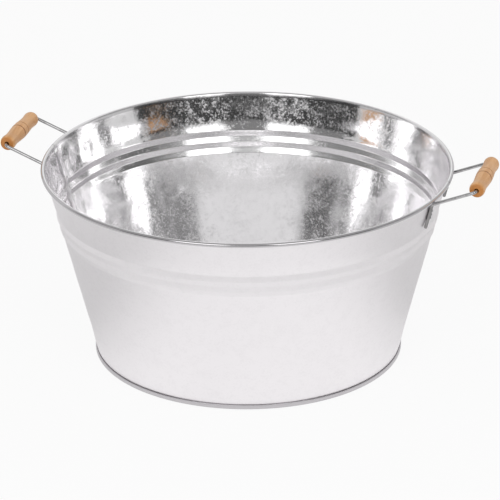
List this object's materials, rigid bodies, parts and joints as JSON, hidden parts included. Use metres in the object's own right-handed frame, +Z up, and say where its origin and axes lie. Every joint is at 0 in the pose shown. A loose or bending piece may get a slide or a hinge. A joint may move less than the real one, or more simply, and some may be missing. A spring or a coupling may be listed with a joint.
{
  "type": "wash tub",
  "caption": "Round flared wash tub of galvanized sheet with rolled rim, beaded wall, double-seamed foot and wire handles that carry turned wooden grips.",
  "frame": {"origin": "centre of the foot circle, on the ground plane that the foot seam stands on", "axes": "+Z up along the tub's axis, +X from the middle towards the right handle and one side seam, +Y towards the back wall panel"},
  "size_m": [0.604, 0.5, 0.2612],
  "materials": {
    "wall_sheet": "hot-dip zinc, bright and lightly spangled inside, satin outside",
    "pan_sheet": "hot-dip zinc, bright and lightly spangled",
    "rim_wire": "zinc coated wire",
    "handle_wire": "bright zinc coated wire",
    "grip_wood": "turned beech, smooth and thinly varnished"
  },
  "bodies": {
    "tub": {"front_wall": "wall_sheet", "back_wall": "wall_sheet", "rim_wire": "rim_wire", "bottom_pan": "pan_sheet", "left_handle_wire": "handle_wire", "right_handle_wire": "handle_wire"},
    "left_grip": {"left_grip": "grip_wood"},
    "right_grip": {"right_grip": "grip_wood"}
  },
  "joints": [
    {"name": "left_grip_spin", "type": "hinge", "parent": "tub", "child": "left_grip", "pos_m": [-0.292, 0, 0.25124], "axis": [0, 1, 0], "continuous": true},
    {"name": "right_grip_spin", "type": "hinge", "parent": "tub", "child": "right_grip", "pos_m": [0.292, 0, 0.25124], "axis": [0, 1, 0], "continuous": true}
  ]
}
